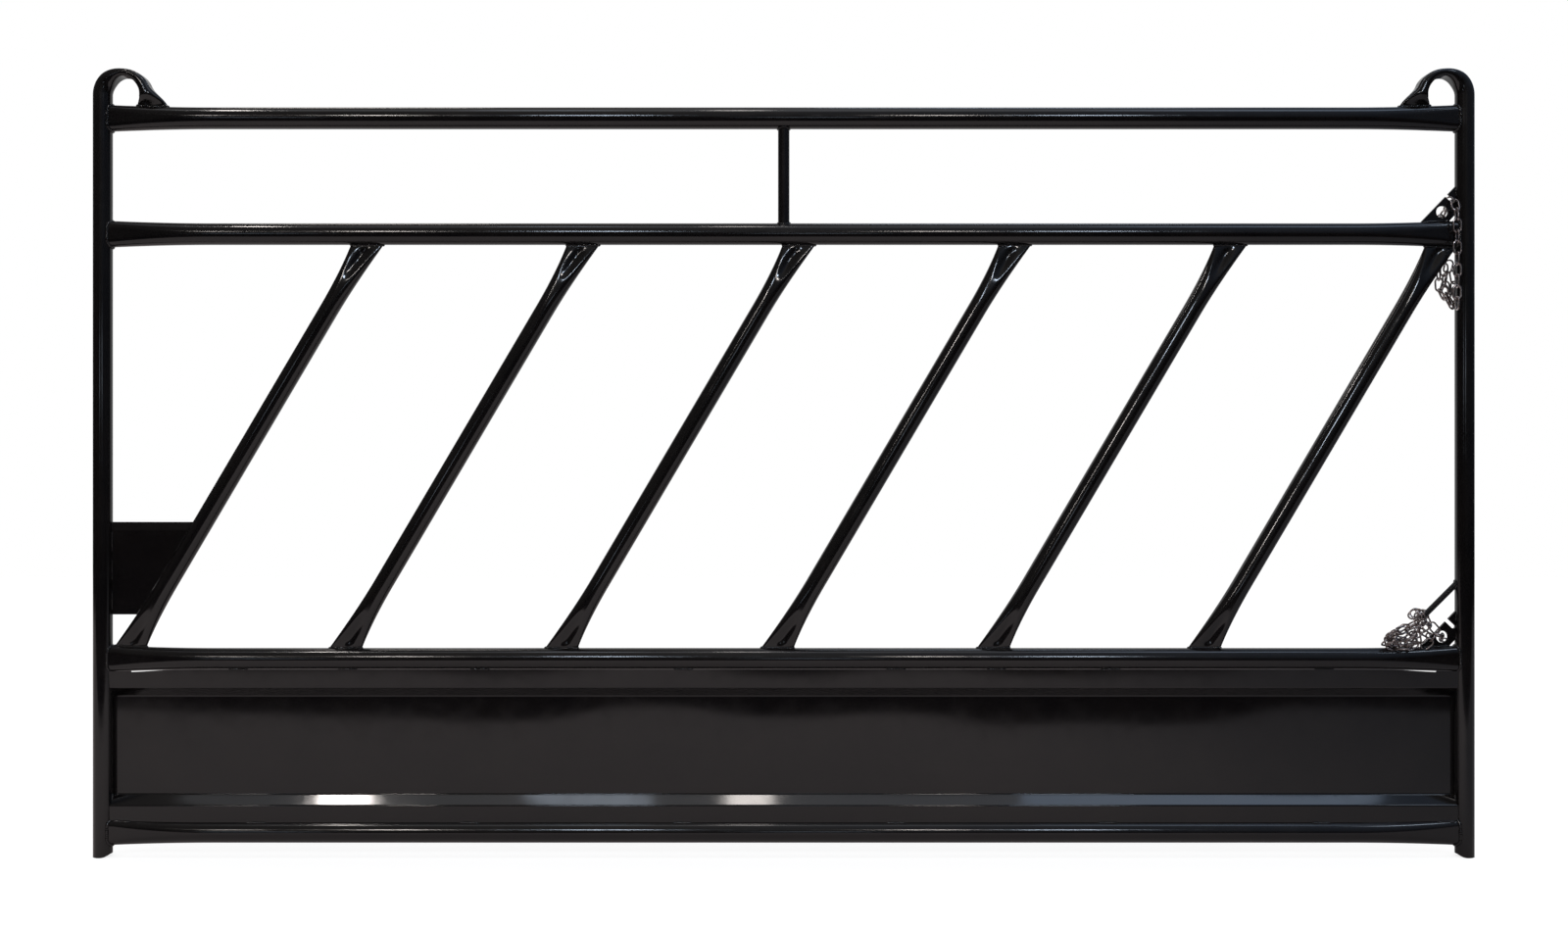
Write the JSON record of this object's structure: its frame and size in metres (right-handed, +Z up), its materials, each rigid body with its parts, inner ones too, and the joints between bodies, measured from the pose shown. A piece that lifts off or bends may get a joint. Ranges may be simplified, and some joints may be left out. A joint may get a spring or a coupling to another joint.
{
  "type": "livestock feeder panel",
  "caption": "Welded round-tube feeder panel with slanted neck bars, a pressed kick sheet, a guard plate, slotted latch plates, a chain peg and loose chains.",
  "frame": {"origin": "on the ground half way along the panel, in the plane of the tube axes", "axes": "+X along the panel, the latch plates and chains at +X; +Y to the rear, the guard plate, the kick sheet's flanges and the free chain tail face -Y; +Z up"},
  "size_m": [3.048, 0.0938, 1.7365],
  "materials": {
    "left_upright": "glossy black enamel",
    "right_upright": "glossy black enamel",
    "bottom_rail": "glossy black enamel",
    "middle_rail": "glossy black enamel",
    "neck_rail": "glossy black enamel",
    "top_rail": "glossy black enamel",
    "centre_spacer": "glossy black enamel",
    "slant_bar_1": "glossy black enamel",
    "slant_bar_2": "glossy black enamel",
    "slant_bar_3": "glossy black enamel",
    "slant_bar_4": "glossy black enamel",
    "slant_bar_5": "glossy black enamel",
    "slant_bar_6": "glossy black enamel",
    "guard_plate": "glossy black enamel",
    "kick_panel": "glossy black enamel",
    "upper_latch_plate": "glossy black enamel",
    "lower_latch_plate": "glossy black enamel",
    "chain_peg": "glossy black enamel",
    "upper_slot_link": "dull zinc plate",
    "upper_hole_link": "dull zinc plate",
    "tail_link_01": "dull zinc plate",
    "tail_link_02": "dull zinc plate",
    "tail_link_03": "dull zinc plate",
    "tail_link_04": "dull zinc plate",
    "tail_link_05": "dull zinc plate",
    "tail_link_06": "dull zinc plate",
    "tail_link_07": "dull zinc plate",
    "tail_link_08": "dull zinc plate",
    "tail_link_09": "dull zinc plate",
    "tail_link_10": "dull zinc plate",
    "bight_link_01": "dull zinc plate",
    "bight_link_02": "dull zinc plate",
    "bight_link_03": "dull zinc plate",
    "bight_link_04": "dull zinc plate",
    "bight_link_05": "dull zinc plate",
    "bight_link_06": "dull zinc plate",
    "bight_link_07": "dull zinc plate",
    "bight_link_08": "dull zinc plate",
    "bight_link_09": "dull zinc plate",
    "bight_link_10": "dull zinc plate",
    "bight_link_11": "dull zinc plate",
    "bight_link_12": "dull zinc plate",
    "bight_link_13": "dull zinc plate",
    "bight_link_14": "dull zinc plate",
    "bight_link_15": "dull zinc plate",
    "bight_link_16": "dull zinc plate",
    "bight_link_17": "dull zinc plate",
    "lower_hole_link": "dull zinc plate",
    "corner_link_01": "dull zinc plate",
    "front_link_01": "dull zinc plate",
    "peg_link": "dull zinc plate",
    "peg_front_link_01": "dull zinc plate",
    "heap_link_01": "dull zinc plate",
    "heap_link_02": "dull zinc plate",
    "heap_link_03": "dull zinc plate",
    "heap_link_04": "dull zinc plate",
    "heap_link_05": "dull zinc plate",
    "heap_link_06": "dull zinc plate"
  },
  "bodies": {
    "panel": {"left_upright": "left_upright", "right_upright": "right_upright", "bottom_rail": "bottom_rail", "middle_rail": "middle_rail", "neck_rail": "neck_rail", "top_rail": "top_rail", "centre_spacer": "centre_spacer", "slant_bar_1": "slant_bar_1", "slant_bar_2": "slant_bar_2", "slant_bar_3": "slant_bar_3", "slant_bar_4": "slant_bar_4", "slant_bar_5": "slant_bar_5", "slant_bar_6": "slant_bar_6", "guard_plate": "guard_plate", "kick_panel": "kick_panel", "upper_latch_plate": "upper_latch_plate", "lower_latch_plate": "lower_latch_plate", "chain_peg": "chain_peg", "upper_slot_link": "upper_slot_link", "upper_hole_link": "upper_hole_link", "bight_link_01": "bight_link_01", "bight_link_02": "bight_link_02", "bight_link_03": "bight_link_03", "bight_link_04": "bight_link_04", "bight_link_11": "bight_link_11", "bight_link_12": "bight_link_12", "lower_hole_link": "lower_hole_link", "corner_link_01": "corner_link_01", "front_link_01": "front_link_01", "peg_link": "peg_link", "peg_front_link_01": "peg_front_link_01", "heap_link_01": "heap_link_01", "heap_link_02": "heap_link_02", "heap_link_03": "heap_link_03", "heap_link_04": "heap_link_04", "heap_link_05": "heap_link_05", "heap_link_06": "heap_link_06"},
    "chain_tail_upper": {"tail_link_01": "tail_link_01", "tail_link_02": "tail_link_02", "tail_link_03": "tail_link_03", "tail_link_04": "tail_link_04"},
    "chain_tail_lower": {"tail_link_05": "tail_link_05", "tail_link_06": "tail_link_06", "tail_link_07": "tail_link_07", "tail_link_08": "tail_link_08", "tail_link_09": "tail_link_09", "tail_link_10": "tail_link_10"},
    "chain_bight": {"bight_link_05": "bight_link_05", "bight_link_06": "bight_link_06", "bight_link_07": "bight_link_07", "bight_link_08": "bight_link_08", "bight_link_09": "bight_link_09", "bight_link_10": "bight_link_10", "bight_link_13": "bight_link_13", "bight_link_14": "bight_link_14", "bight_link_15": "bight_link_15", "bight_link_16": "bight_link_16", "bight_link_17": "bight_link_17"}
  },
  "joints": [
    {"name": "tail_swing", "type": "hinge", "parent": "panel", "child": "chain_tail_upper", "pos_m": [1.4763, -0.008, 1.444], "axis": [-1, 0, 0], "range_deg": [0, 45]},
    {"name": "tail_bend", "type": "hinge", "parent": "chain_tail_upper", "child": "chain_tail_lower", "pos_m": [1.4763, -0.0277, 1.355], "axis": [-1, 0, 0], "range_deg": [0, 45]},
    {"name": "bight_swing", "type": "hinge", "parent": "panel", "child": "chain_bight", "pos_m": [1.4763, 0.0455, 1.3637], "axis": [0.7687, 0.3494, -0.5358], "range_deg": [0, 25]}
  ]
}
